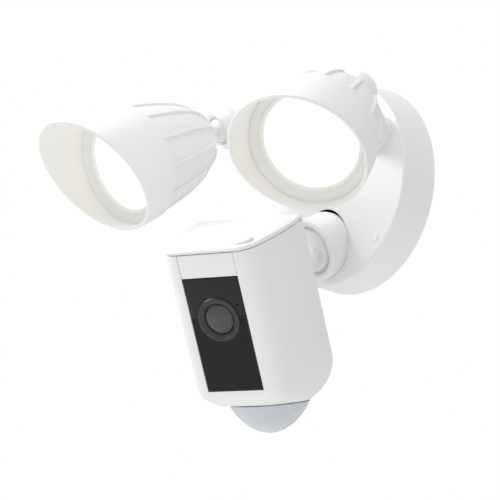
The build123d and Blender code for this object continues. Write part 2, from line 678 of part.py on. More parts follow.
with BuildPart() as setup_button:
    with BuildSketch(cap_plane.offset(-1.0)):
        with Locations((btn_u, -btn_n)):
            Circle(7.3)
    extrude(amount=1.3)
    with BuildSketch(cap_plane.offset(0.3)):
        with Locations((btn_u, -btn_n)):
            Circle(6.0)
    extrude(amount=3.9)
    fillet(setup_button.faces().sort_by(Axis(unit_o, unit_v))[-1].edges(), 1.2)
setup_button.part.label = "setup_button"
export_step(setup_button.part, "parts/setup_button.step")

with BuildPart() as button_switch:
    with BuildSketch(cap_plane.offset(-7.4)):
        with Locations((btn_u - 3.0, -btn_n + 1.0)):
            Rectangle(16.0, 14.0)
    extrude(amount=1.2)
    with BuildSketch(cap_plane.offset(-6.2)):
        with Locations((btn_u, -btn_n)):
            Rectangle(6.0, 6.0)
    extrude(amount=2.4)
    with BuildSketch(cap_plane.offset(-3.8)):
        with Locations((btn_u, -btn_n)):
            Circle(1.7)
    extrude(amount=1.2)
button_switch.part.label = "button_switch"
export_step(button_switch.part, "parts/button_switch.step")

with BuildPart() as blank_plate:
    with BuildSketch(unit_front.offset(-3.1)):
        with Locations((0, (50.4 + 36.1) / 2)):
            Rectangle(panel_w, 50.4 - 36.1)
    extrude(amount=3.1)
blank_plate.part.label = "blank_plate"
export_step(blank_plate.part, "parts/blank_plate.step")

with BuildPart() as face_window:
    with BuildSketch(unit_front.offset(-3.1)):
        with Locations((0, (panel_top + 10.8) / 2)):
            Rectangle(panel_w, panel_top - 10.8)
        with Locations((0, lens_v)):
            Circle(13.8, mode=Mode.SUBTRACT)
        with Locations((14.4, 18.4)):
            Circle(0.7, mode=Mode.SUBTRACT)
    extrude(amount=3.1)
face_window.part.label = "face_window"
export_step(face_window.part, "parts/face_window.step")

with BuildPart() as speaker_grille:
    with BuildSketch(unit_front.offset(-3.1)):
        with Locations((0, (10.6 + panel_bot) / 2)):
            Rectangle(panel_w, 10.6 - panel_bot)
        with Locations((0, lens_v)):
            Circle(13.8, mode=Mode.SUBTRACT)
    extrude(amount=3.1)
    # hollow back so that the grille is a thin face over the speaker
    with BuildSketch(unit_front.offset(-3.2)):
        with Locations((0, -19.5)):
            RectangleRounded(29.0, 28.0, 3.0)
    extrude(amount=2.2, mode=Mode.SUBTRACT)
    with BuildSketch(unit_front.offset(-2.0)):
        with Locations((0, -19.5)):
            with GridLocations(2.9, 2.9, 9, 9):
                Circle(0.75)
    extrude(amount=3.0, mode=Mode.SUBTRACT)
speaker_grille.part.label = "speaker_grille"
export_step(speaker_grille.part, "parts/speaker_grille.step")

lens_plane = Plane(origin=vadd(unit_o, unit_v, lens_v), x_dir=unit_u, z_dir=unit_n)
lens_profile = Plane(origin=vadd(unit_o, unit_v, lens_v), x_dir=unit_u, z_dir=cross(unit_u, unit_n))
lens_axis = Axis(vadd(unit_o, unit_v, lens_v), unit_n)
with BuildPart() as lens_ring:
    with BuildSketch(lens_profile):
        with BuildLine():
            Polyline((9.6, -5.0), (13.7, -5.0), (13.7, 0.6), (13.2, 1.2), (11.6, 1.2), (9.6, -0.6), (9.6, -5.0))
        make_face()
    revolve(axis=lens_axis)
lens_ring.part.label = "lens_ring"
export_step(lens_ring.part, "parts/lens_ring.step")

with BuildPart() as lens_glass:
    with BuildSketch(lens_profile):
        with BuildLine():
            Polyline((0, -2.6), (9.5, -2.6), (9.5, -1.0))
            Spline((9.5, -1.0), (5.0, 0.3), (0, 0.8), tangents=((-1, 0.35), (-1, 0)))
            Line((0, 0.8), (0, -2.6))
        make_face()
    revolve(axis=lens_axis)
lens_glass.part.label = "lens_glass"
export_step(lens_glass.part, "parts/lens_glass.step")

with BuildPart() as lens_barrel:
    with BuildSketch(lens_profile):
        with BuildLine():
            Polyline((4.0, -3.6), (7.6, -3.6), (7.6, -10.0), (9.0, -10.0), (9.0, -15.8), (4.0, -15.8), (4.0, -8.0), (3.0, -7.0), (4.0, -3.6))
        make_face()
    revolve(axis=lens_axis)
lens_barrel.part.label = "lens_barrel"
export_step(lens_barrel.part, "parts/lens_barrel.step")

with BuildPart() as image_sensor_board:
    with BuildSketch(lens_plane.offset(-18.0)):
        RectangleRounded(24.0, 20.0, 1.5)
    extrude(amount=1.2)
    with BuildSketch(lens_plane.offset(-16.8)):
        Rectangle(6.5, 5.5)
    extrude(amount=0.9)
image_sensor_board.part.label = "image_sensor_board"
export_step(image_sensor_board.part, "parts/image_sensor_board.step")

with BuildPart() as main_board:
    with BuildSketch(unit_front.offset(-29.0)):
        with Locations((0, 2.0)):
            RectangleRounded(50.0, 74.0, 2.0)
    extrude(amount=1.6)
    # processor under its shield
    with BuildSketch(unit_front.offset(-27.4)):
        with Locations((0, 14.0)):
            Rectangle(26.0, 26.0)
    extrude(amount=2.8)
main_board.part.label = "main_board"
export_step(main_board.part, "parts/main_board.step")

with BuildPart() as infrared_leds:
    with BuildSketch(unit_front.offset(-8.0)):
        with Locations((-12.0, 30.5), (-4.0, 30.5), (4.0, 30.5), (12.0, 30.5)):
            Circle(2.4)
    extrude(amount=4.4)
infrared_leds.part.label = "infrared_leds"
export_step(infrared_leds.part, "parts/infrared_leds.step")

with BuildPart() as microphone:
    with BuildSketch(unit_front.offset(-6.0)):
        with Locations((14.4, 18.4)):
            Circle(2.0)
            Circle(0.6, mode=Mode.SUBTRACT)
    extrude(amount=2.7)
microphone.part.label = "microphone"
export_step(microphone.part, "parts/microphone.step")

with BuildPart() as speaker:
    with BuildSketch(Plane(origin=vadd(unit_o, unit_v, -19.5), x_dir=unit_u, z_dir=cross(unit_u, unit_n))):
        with BuildLine():
            Polyline((0, -8.0), (5.0, -8.4), (12.0, -5.4), (13.6, -4.4), (13.6, -6.4), (11.0, -9.0), (9.5, -12.0), (9.5, -18.0), (0, -18.0), (0, -8.0))
        make_face()
    revolve(axis=Axis(vadd(unit_o, unit_v, -19.5), unit_n))
speaker.part.label = "speaker"
export_step(speaker.part, "parts/speaker.step")

# motion sensor under its translucent dome
dome_o = vadd(unit_o, unit_n, -28.5)
dome_axis = Axis(dome_o, unit_v)
dome_profile = Plane(origin=dome_o, x_dir=unit_u, z_dir=cross(unit_u, unit_v))      # x = radius, y = v
with BuildPart() as motion_dome:
    with BuildSketch(dome_profile):
        with BuildLine():
            Line((24.2, -44.0), (24.2, -54.0))
            Spline((24.2, -54.0), (22.4, -64.0), (15.0, -73.6), (0, -78.0), tangents=((0, -1), (-1, 0)))
            Line((0, -78.0), (0, -76.2))
            Spline((0, -76.2), (13.8, -72.2), (20.6, -63.4), (22.4, -54.0), tangents=((1, 0), (0, 1)))
            Line((22.4, -54.0), (22.4, -44.0))
            Line((22.4, -44.0), (24.2, -44.0))
        make_face()
    revolve(axis=dome_axis)
    split(bisect_by=seam_plane, keep=Keep.BOTTOM)
motion_dome.part.label = "motion_dome"
export_step(motion_dome.part, "parts/motion_dome.step")

sensor_plane = Plane(origin=vadd(dome_o, unit_v, -53.4), x_dir=unit_u, z_dir=seam_plane.z_dir)
with BuildPart() as motion_board:
    with BuildSketch(sensor_plane.offset(-4.2)):
        Circle(17.0)
    extrude(amount=1.4)
motion_board.part.label = "motion_board"
export_step(motion_board.part, "parts/motion_board.step")

with BuildPart() as motion_sensor:
    with BuildSketch(sensor_plane.offset(-8.4)):
        Circle(4.6)
    extrude(amount=4.2)
    with BuildSketch(sensor_plane.offset(-4.7)):
        Circle(5.1)
    extrude(amount=0.5)
motion_sensor.part.label = "motion_sensor"
export_step(motion_sensor.part, "parts/motion_sensor.step")

with BuildPart() as unit_rear_cover:
    with BuildSketch(unit_front.offset(-61.0)):
        with Locations((0, 5.0)):
            RectangleRounded(59.6, 83.6, 1.5)
        with Locations((0, 3.0)):
            Circle(4.5, mode=Mode.SUBTRACT)
            with PolarLocations(13.0, 3, start_angle=90):
                Circle(1.5, mode=Mode.SUBTRACT)
        with Locations((26.5, 43.0), (-26.5, 43.0), (26.5, -33.0), (-26.5, -33.0)):
            Circle(1.6, mode=Mode.SUBTRACT)
    extrude(amount=2.0)
unit_rear_cover.part.label = "unit_rear_cover"
export_step(unit_rear_cover.part, "parts/unit_rear_cover.step")

with BuildPart() as rear_cover_screws:
    with BuildSketch(unit_front.offset(-62.6)):
        with Locations((26.5, 43.0), (-26.5, 43.0), (26.5, -33.0), (-26.5, -33.0)):
            Circle(2.7)
    extrude(amount=1.6)
    with BuildSketch(unit_front.offset(-61.0)):
        with Locations((26.5, 43.0), (-26.5, 43.0), (26.5, -33.0), (-26.5, -33.0)):
            Circle(1.35)
    extrude(amount=4.0)
rear_cover_screws.part.label = "rear_cover_screws"
export_step(rear_cover_screws.part, "parts/rear_cover_screws.step")

with BuildPart() as neck_screws:
    with BuildSketch(unit_front.offset(-59.0)):
        with Locations((0, 3.0)):
            with PolarLocations(13.0, 3, start_angle=90):
                Circle(2.6)
    extrude(amount=1.6)
    with BuildSketch(unit_front.offset(-64.5)):
        with Locations((0, 3.0)):
            with PolarLocations(13.0, 3, start_angle=90):
                Circle(1.2)
    extrude(amount=5.5)
neck_screws.part.label = "neck_screws"
export_step(neck_screws.part, "parts/neck_screws.step")
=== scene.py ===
import json
import math

import bpy
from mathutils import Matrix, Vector


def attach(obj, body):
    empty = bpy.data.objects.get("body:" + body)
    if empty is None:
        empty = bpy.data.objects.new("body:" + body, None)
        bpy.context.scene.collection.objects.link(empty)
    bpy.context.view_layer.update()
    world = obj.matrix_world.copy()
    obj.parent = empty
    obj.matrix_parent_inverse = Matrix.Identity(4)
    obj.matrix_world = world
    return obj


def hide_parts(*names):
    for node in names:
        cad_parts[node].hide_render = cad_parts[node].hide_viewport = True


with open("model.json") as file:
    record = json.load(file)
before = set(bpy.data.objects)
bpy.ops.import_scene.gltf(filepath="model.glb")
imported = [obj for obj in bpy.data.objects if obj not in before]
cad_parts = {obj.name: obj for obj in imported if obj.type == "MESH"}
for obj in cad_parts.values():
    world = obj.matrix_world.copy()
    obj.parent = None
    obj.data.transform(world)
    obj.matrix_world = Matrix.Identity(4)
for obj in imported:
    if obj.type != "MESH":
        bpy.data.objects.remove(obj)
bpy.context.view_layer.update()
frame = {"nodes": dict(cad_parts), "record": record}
N = frame["nodes"]
MM = 0.001
pi, sin, cos, tan, rad = math.pi, math.sin, math.cos, math.tan, math.radians


# ----------------------------------------------------------------- frames ---
def aim_axes(yaw, pitch):
    y, p = rad(yaw), rad(pitch)
    n = Vector((sin(y) * cos(p), -cos(y) * cos(p), -sin(p)))
    u = Vector((cos(y), sin(y), 0.0))
    return u, n.cross(u), n


class Frame:
    """Origin in mm and three axes; P(a, b, c) is a point in metres."""

    def __init__(self, o, u, v, n):
        self.o, self.u, self.v, self.n = Vector(o), Vector(u), Vector(v), Vector(n)

    def P(self, a, b, c):
        return (self.o + self.u * a + self.v * b + self.n * c) * MM


AIM = {"left": (-2.5, 27.0), "right": (27.0, 34.0)}
HEAD = {}
for side, sx in (("left", -1), ("right", 1)):
    HEAD[side] = Frame((sx * 63.0, -65.0, 41.0), *aim_axes(*AIM[side]))
UNIT = Frame((32.3, -138.0, -116.4), *aim_axes(21.3, 31.1))


# ------------------------------------------------------------ mesh helpers ---
def finish_mesh(name, verts, faces, angle=34.0):
    me = bpy.data.meshes.new(name)
    me.from_pydata([tuple(v) for v in verts], [], faces)
    me.validate()
    me.update()
    me.shade_smooth()
    me.set_sharp_from_angle(angle=rad(angle))
    ob = bpy.data.objects.new(name, me)
    bpy.context.scene.collection.objects.link(ob)
    return ob


def out_wards(ob):
    """Turns all faces outwards."""
    import bmesh

    bm = bmesh.new()
    bm.from_mesh(ob.data)
    bmesh.ops.remove_doubles(bm, verts=bm.verts, dist=1e-7)
    bmesh.ops.recalc_face_normals(bm, faces=bm.faces)
    bm.to_mesh(ob.data)
    bm.free()
    ob.data.update()


def rings(name, loops, cyclic=False, start=None, end=None, angle=34.0):
    """Closed loops of equal length joined in order. start and end are pole points or 'cap'."""
    m = len(loops[0])
    verts = [p for lp in loops for p in lp]
    faces = []
    k = len(loops)
    for i in range(k if cyclic else k - 1):
        a, b = i * m, ((i + 1) % k) * m
        for j in range(m):
            j2 = (j + 1) % m
            faces.append((a + j, a + j2, b + j2, b + j))
    if start is not None:
        if isinstance(start, str):
            faces.append(tuple(range(m - 1, -1, -1)))
        else:
            verts.append(start)
            c = len(verts) - 1
            faces += [(c, (j + 1) % m, j) for j in range(m)]
    if end is not None:
        a = (k - 1) * m
        if isinstance(end, str):
            faces.append(tuple(a + j for j in range(m)))
        else:
            verts.append(end)
            c = len(verts) - 1
            faces += [(c, a + j, a + (j + 1) % m) for j in range(m)]
    ob = finish_mesh(name, verts, faces, angle)
    out_wards(ob)
    ob.data.shade_smooth()
    ob.data.set_sharp_from_angle(angle=rad(angle))
    return ob


def smooth_path(pts, n, t0=None, t1=None):
    """n points on a smooth curve through pts (cubic Hermite, chord-length tangents)."""
    P = [Vector((p[0], p[1], 0.0)) for p in pts]
    L = [(P[i + 1] - P[i]).length for i in range(len(P) - 1)]
    T = []
    for i in range(len(P)):
        if i == 0:
            T.append(Vector((*t0, 0)).normalized() if t0 else (P[1] - P[0]).normalized())
        elif i == len(P) - 1:
            T.append(Vector((*t1, 0)).normalized() if t1 else (P[-1] - P[-2]).normalized())
        else:
            a, b = (P[i] - P[i - 1]) / L[i - 1], (P[i + 1] - P[i]) / L[i]
            T.append(((a * L[i] + b * L[i - 1]) / (L[i] + L[i - 1])))
    total, out = sum(L), []
    for q in range(n):
        s = total * q / (n - 1)
        i = 0
        while i < len(L) - 1 and s > L[i]:
            s -= L[i]
            i += 1
        t = min(1.0, s / L[i])
        h00, h10 = 2 * t**3 - 3 * t**2 + 1, t**3 - 2 * t**2 + t
        h01, h11 = -2 * t**3 + 3 * t**2, t**3 - t**2
        p = P[i] * h00 + T[i] * (h10 * L[i]) + P[i + 1] * h01 + T[i + 1] * (h11 * L[i])
        out.append((p.x, p.y))
    return out


def rounded(poly, default=0.4, n=4):
    """Closed polygon [(x, y) or (x, y, r)] with its corners rounded by r."""
    out = []
    k = len(poly)
    for i in range(k):
        p = poly[i]
        r = p[2] if len(p) > 2 else default
        a, c, b = Vector(poly[i - 1][:2]), Vector(p[:2]), Vector(poly[(i + 1) % k][:2])
        d1, d2 = (a - c), (b - c)
        l1, l2 = d1.length, d2.length
        if r <= 0 or l1 < 1e-6 or l2 < 1e-6:
            out.append(tuple(c))
            continue
        d1, d2 = d1 / l1, d2 / l2
        ang = d1.angle(d2)
        if ang > rad(172):
            out.append(tuple(c))
            continue
        t = min(r / tan(ang / 2), 0.45 * l1, 0.45 * l2)
        s, e = c + d1 * t, c + d2 * t
        for q in range(n + 1):
            w = q / n
            out.append(tuple(s * (1 - w) ** 2 + c * (2 * w * (1 - w)) + e * w * w))
    return out


def lathe(name, prof, fr, segs=144, angle=34.0, deform=None):
    """Closed profile of (radius, distance) turned about the frame's n axis."""
    loops = []
    for r, d in prof:
        lp = []
        for j in range(segs):
            th = 2 * pi * j / segs
            rr = r
            dd = d
            if deform:
                rr, dd = deform(r, d, th)
            lp.append(fr.P(rr * cos(th), rr * sin(th), dd))
        loops.append(lp)
    return rings(name, loops, cyclic=True, angle=angle)


def solid_lathe(name, prof, fr, segs=144, angle=34.0):
    """Profile that starts and ends on the axis, poles closed by one point each."""
    loops = []
    for r, d in prof[1:-1]:
        loops.append([fr.P(r * cos(2 * pi * j / segs), r * sin(2 * pi * j / segs), d) for j in range(segs)])
    return rings(name, loops, start=fr.P(0, 0, prof[0][1]), end=fr.P(0, 0, prof[-1][1]), angle=angle)


def prism(name, fr, outline, c0, c1, bevel=0.3, angle=34.0):
    """Outline (a, b) in the frame's u, v, from n = c0 to n = c1, its front edge rounded."""
    cx = sum(p[0] for p in outline) / len(outline)
    cy = sum(p[1] for p in outline) / len(outline)
    k = len(outline)

    def inset(d):
        res = []
        for i in range(k):
            a, c, b = Vector(outline[i - 1]), Vector(outline[i]), Vector(outline[(i + 1) % k])
            e1, e2 = (c - a).normalized(), (b - c).normalized()
            n1, n2 = Vector((-e1.y, e1.x)), Vector((-e2.y, e2.x))
            mid = n1 + n2
            mid = mid / max(mid.length_squared / 2, 0.2)
            if (c - Vector((cx, cy))).dot(mid) > 0:
                mid = -mid
            res.append(c + mid * d)
        return res

    loops = []
    for d, c in ((bevel, c0), (bevel * 0.29, c0 + bevel * 0.29), (0, c0 + bevel), (0, c1 - bevel),
                 (bevel * 0.29, c1 - bevel * 0.29), (bevel, c1)):
        loops.append([fr.P(p.x, p.y, c) for p in inset(d)])
    return rings(name, loops, start="cap", end="cap", angle=angle)


def cut(ob, cutter, angle=34.0, op="DIFFERENCE"):
    mod = ob.modifiers.new("cut", "BOOLEAN")
    mod.operation, mod.object, mod.solver = op, cutter, "EXACT"
    bpy.context.view_layer.update()
    dg = bpy.context.evaluated_depsgraph_get()
    me = bpy.data.meshes.new_from_object(ob.evaluated_get(dg))
    ob.modifiers.clear()
    old = ob.data
    ob.data = me
    me.name = ob.name
    bpy.data.meshes.remove(old)
    cm = cutter.data
    bpy.data.objects.remove(cutter)
    bpy.data.meshes.remove(cm)
    me.shade_smooth()
    me.set_sharp_from_angle(angle=rad(angle))
    return ob


def block(fr, a0, a1, b0, b1, c0, c1):
    lo = [fr.P(a0, b0, c0), fr.P(a1, b0, c0), fr.P(a1, b1, c0), fr.P(a0, b1, c0)]
    hi = [fr.P(a0, b0, c1), fr.P(a1, b0, c1), fr.P(a1, b1, c1), fr.P(a0, b1, c1)]
    return rings("cutter", [lo, hi], start="cap", end="cap")


def rod(fr, a, b, r, c0, c1, segs=96):
    lp = [[fr.P(a + r * cos(2 * pi * j / segs), b + r * sin(2 * pi * j / segs), c) for j in range(segs)] for c in (c0, c1)]
    return rings("cutter", lp, start="cap", end="cap")


# --------------------------------------------------------------- materials ---
def nodes_of(name):
    m = bpy.data.materials.new(name)
    m.use_nodes = True
    nt = m.node_tree
    return m, nt, nt.nodes["Principled BSDF"]


def noise(nt, scale, detail=3.0, rough=0.5, stretch=None):
    tc = nt.nodes.new("ShaderNodeTexCoord")
    tx = nt.nodes.new("ShaderNodeTexNoise")
    tx.inputs["Scale"].default_value = scale
    tx.inputs["Detail"].default_value = detail
    tx.inputs["Roughness"].default_value = rough
    if stretch:
        mp = nt.nodes.new("ShaderNodeMapping")
        mp.inputs["Scale"].default_value = stretch
        nt.links.new(tc.outputs["Object"], mp.inputs["Vector"])
        nt.links.new(mp.outputs["Vector"], tx.inputs["Vector"])
    else:
        nt.links.new(tc.outputs["Object"], tx.inputs["Vector"])
    return tx


def surface(name, base, rough=0.4, var=0.03, tint=(0, 0, 0), rvar=0.07, grain=900.0, bump=0.06, depth=0.00006,
            metal=0.0, coat=0.0, coat_rough=0.1, sss=0.0, broad=22.0, stretch=None, spec=0.5):
    """Moulded or cast finish: broad colour drift, uneven gloss and a fine grain."""
    m, nt, b = nodes_of(name)
    n1 = noise(nt, broad, 4.0, 0.6)
    ramp = nt.nodes.new("ShaderNodeValToRGB")
    lo = [max(0.0, c * (1 - var) + t) for c, t in zip(base, tint)]
    hi = [min(1.0, c * (1 + var)) for c in base]
    ramp.color_ramp.elements[0].position, ramp.color_ramp.elements[1].position = 0.3, 0.7
    ramp.color_ramp.elements[0].color = (*lo, 1)
    ramp.color_ramp.elements[1].color = (*hi, 1)
    nt.links.new(n1.outputs["Fac"], ramp.inputs["Fac"])
    nt.links.new(ramp.outputs["Color"], b.inputs["Base Color"])
    n2 = noise(nt, grain * 0.13, 3.0, 0.55, stretch)
    mr = nt.nodes.new("ShaderNodeMapRange")
    mr.inputs["From Min"].default_value, mr.inputs["From Max"].default_value = 0.25, 0.75
    mr.inputs["To Min"].default_value, mr.inputs["To Max"].default_value = max(0.02, rough - rvar), rough + rvar
    nt.links.new(n2.outputs["Fac"], mr.inputs["Value"])
    nt.links.new(mr.outputs["Result"], b.inputs["Roughness"])
    n3 = noise(nt, grain, 2.0, 0.5, stretch)
    bp = nt.nodes.new("ShaderNodeBump")
    bp.inputs["Strength"].default_value = bump
    bp.inputs["Distance"].default_value = depth
    nt.links.new(n3.outputs["Fac"], bp.inputs["Height"])
    nt.links.new(bp.outputs["Normal"], b.inputs["Normal"])
    b.inputs["Metallic"].default_value = metal
    b.inputs["Coat Weight"].default_value = coat
    b.inputs["Coat Roughness"].default_value = coat_rough
    b.inputs["Specular IOR Level"].default_value = spec
    b.inputs["Subsurface Weight"].default_value = sss
    if sss:
        b.inputs["Subsurface Radius"].default_value = (1.0, 0.9, 0.8)
        b.inputs["Subsurface Scale"].default_value = 0.004
    return m


WHITE = surface("white_plastic", (0.855, 0.858, 0.856), rough=0.36, var=0.018, bump=0.10, sss=0.05)
WHITE_CAST = surface("white_powder_coat", (0.852, 0.856, 0.852), rough=0.42, var=0.02, bump=0.18, grain=1500.0)
HOOD_WHITE = surface("white_hood_plastic", (0.858, 0.862, 0.862), rough=0.34, var=0.016, bump=0.10, sss=0.05)
CREAM = surface("cream_inner", (0.885, 0.878, 0.85), rough=0.45, var=0.02, bump=0.08)
PANEL = surface("gloss_black", (0.012, 0.012, 0.013), rough=0.16, var=0.2, rvar=0.04, bump=0.02, coat=0.0, spec=0.28)
MESH_BLACK = surface("matt_black", (0.014, 0.014, 0.015), rough=0.5, var=0.2, bump=0.15, spec=0.3)
RINGBLACK = surface("lens_surround", (0.024, 0.027, 0.026), rough=0.3, var=0.2, bump=0.05)
PCB = surface("green_board", (0.02, 0.14, 0.05), rough=0.35, var=0.2, bump=0.3, coat=0.3)
STEEL = surface("zinc_steel", (0.62, 0.63, 0.65), rough=0.3, var=0.06, metal=1.0, bump=0.1, stretch=(1, 1, 8))
BRASS = surface("turned_brass", (0.72, 0.55, 0.25), rough=0.25, var=0.06, metal=1.0, bump=0.1)
RUBBER = surface("black_rubber", (0.02, 0.02, 0.021), rough=0.75, var=0.2, bump=0.35, grain=1200.0)
NYLON = surface("natural_nylon", (0.72, 0.71, 0.67), rough=0.42, var=0.03, bump=0.1, sss=0.2)
REFLECT = surface("reflector_coat", (0.85, 0.85, 0.84), rough=0.16, var=0.02, metal=0.9, bump=0.04)
PARTS_BLACK = surface("component_black", (0.03, 0.03, 0.032), rough=0.4, var=0.2, bump=0.2)

# glowing, frosted lamp disc: brighter towards its middle, warm at its edge
LAMP = {}
for side in ("left", "right"):
    m, nt, b = nodes_of("lamp_glow_" + side)
    fr = HEAD[side]
    tc = nt.nodes.new("ShaderNodeTexCoord")
    sub = nt.nodes.new("ShaderNodeVectorMath")
    sub.operation = "SUBTRACT"
    sub.inputs[1].default_value = fr.P(0, 0, 86.5)
    nt.links.new(tc.outputs["Object"], sub.inputs[0])
    ln = nt.nodes.new("ShaderNodeVectorMath")
    ln.operation = "LENGTH"
    nt.links.new(sub.outputs["Vector"], ln.inputs[0])
    mr = nt.nodes.new("ShaderNodeMapRange")
    mr.inputs["From Min"].default_value, mr.inputs["From Max"].default_value = 0.006, 0.0315
    mr.inputs["To Min"].default_value, mr.inputs["To Max"].default_value = 0.0, 1.0
    nt.links.new(ln.outputs["Value"], mr.inputs["Value"])
    ramp = nt.nodes.new("ShaderNodeValToRGB")
    ramp.color_ramp.elements[0].color = (1.0, 0.99, 0.94, 1)
    ramp.color_ramp.elements[1].color = (0.98, 0.95, 0.86, 1)
    nt.links.new(mr.outputs["Result"], ramp.inputs["Fac"])
    nt.links.new(ramp.outputs["Color"], b.inputs["Emission Color"])
    b.inputs["Emission Strength"].default_value = 0.5
    nz = noise(nt, 260.0, 3.0, 0.6)
    r2 = nt.nodes.new("ShaderNodeValToRGB")
    r2.color_ramp.elements[0].color = (0.86, 0.855, 0.81, 1)
    r2.color_ramp.elements[1].color = (0.90, 0.895, 0.855, 1)
    nt.links.new(nz.outputs["Fac"], r2.inputs["Fac"])
    nt.links.new(r2.outputs["Color"], b.inputs["Base Color"])
    m2 = nt.nodes.new("ShaderNodeMapRange")
    m2.inputs["To Min"].default_value, m2.inputs["To Max"].default_value = 0.38, 0.55
    nt.links.new(nz.outputs["Fac"], m2.inputs["Value"])
    nt.links.new(m2.outputs["Result"], b.inputs["Roughness"])
    n3 = noise(nt, 1500.0, 2.0)
    bp = nt.nodes.new("ShaderNodeBump")
    bp.inputs["Strength"].default_value, bp.inputs["Distance"].default_value = 0.25, 0.0001
    nt.links.new(n3.outputs["Fac"], bp.inputs["Height"])
    nt.links.new(bp.outputs["Normal"], b.inputs["Normal"])
    LAMP[side] = m

# milky sensor dome
DOME = surface("milky_dome", (0.70, 0.745, 0.80), rough=0.22, var=0.025, bump=0.05, sss=0.35, coat=0.35, coat_rough=0.12)
DOME.node_tree.nodes["Principled BSDF"].inputs["Transmission Weight"].default_value = 0.18

# lens glass
GLASS, nt, b = nodes_of("coated_glass")
b.inputs["IOR"].default_value = 1.52
b.inputs["Transmission Weight"].default_value = 0.92
b.inputs["Coat Weight"].default_value = 0.4
b.inputs["Coat Roughness"].default_value = 0.02
nz = noise(nt, 60.0, 2.0)
rp = nt.nodes.new("ShaderNodeValToRGB")
rp.color_ramp.elements[0].color = (0.16, 0.19, 0.19, 1)
rp.color_ramp.elements[1].color = (0.22, 0.23, 0.25, 1)
nt.links.new(nz.outputs["Fac"], rp.inputs["Fac"])
nt.links.new(rp.outputs["Color"], b.inputs["Base Color"])
mr = nt.nodes.new("ShaderNodeMapRange")
mr.inputs["To Min"].default_value, mr.inputs["To Max"].default_value = 0.01, 0.05
nt.links.new(nz.outputs["Fac"], mr.inputs["Value"])
nt.links.new(mr.outputs["Result"], b.inputs["Roughness"])
n3 = noise(nt, 500.0, 2.0)
bp = nt.nodes.new("ShaderNodeBump")
bp.inputs["Strength"].default_value, bp.inputs["Distance"].default_value = 0.02, 0.00002
nt.links.new(n3.outputs["Fac"], bp.inputs["Height"])
nt.links.new(bp.outputs["Normal"], b.inputs["Normal"])

BY_SLOT = {"white_plastic": WHITE, "white_metal": WHITE_CAST, "black_gloss": PANEL, "black_matte": PARTS_BLACK,
           "lens_glass": GLASS, "diffuser": REFLECT, "dome": DOME, "steel": STEEL, "rubber": RUBBER, "pcb": PCB,
           "liner": NYLON, "brass": BRASS}
for sp in frame["record"]["subparts"]:
    ob = N[sp["node"]]
    ob.data.materials.clear()
    mat = BY_SLOT[sp["material_slot"]]
    if sp["node"].startswith("reflector"):
        mat = REFLECT
    if sp["node"].startswith("led_chips"):
        mat = LAMP[sp["node"].split("_")[-1]]
    ob.data.materials.append(mat)


def put(ob, mat, body, *nodes, slot=None):
    if mat is not None:
        ob.data.materials.clear()
        ob.data.materials.append(mat)
    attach(ob, body)
    if nodes:
        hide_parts(*nodes)
    return ob


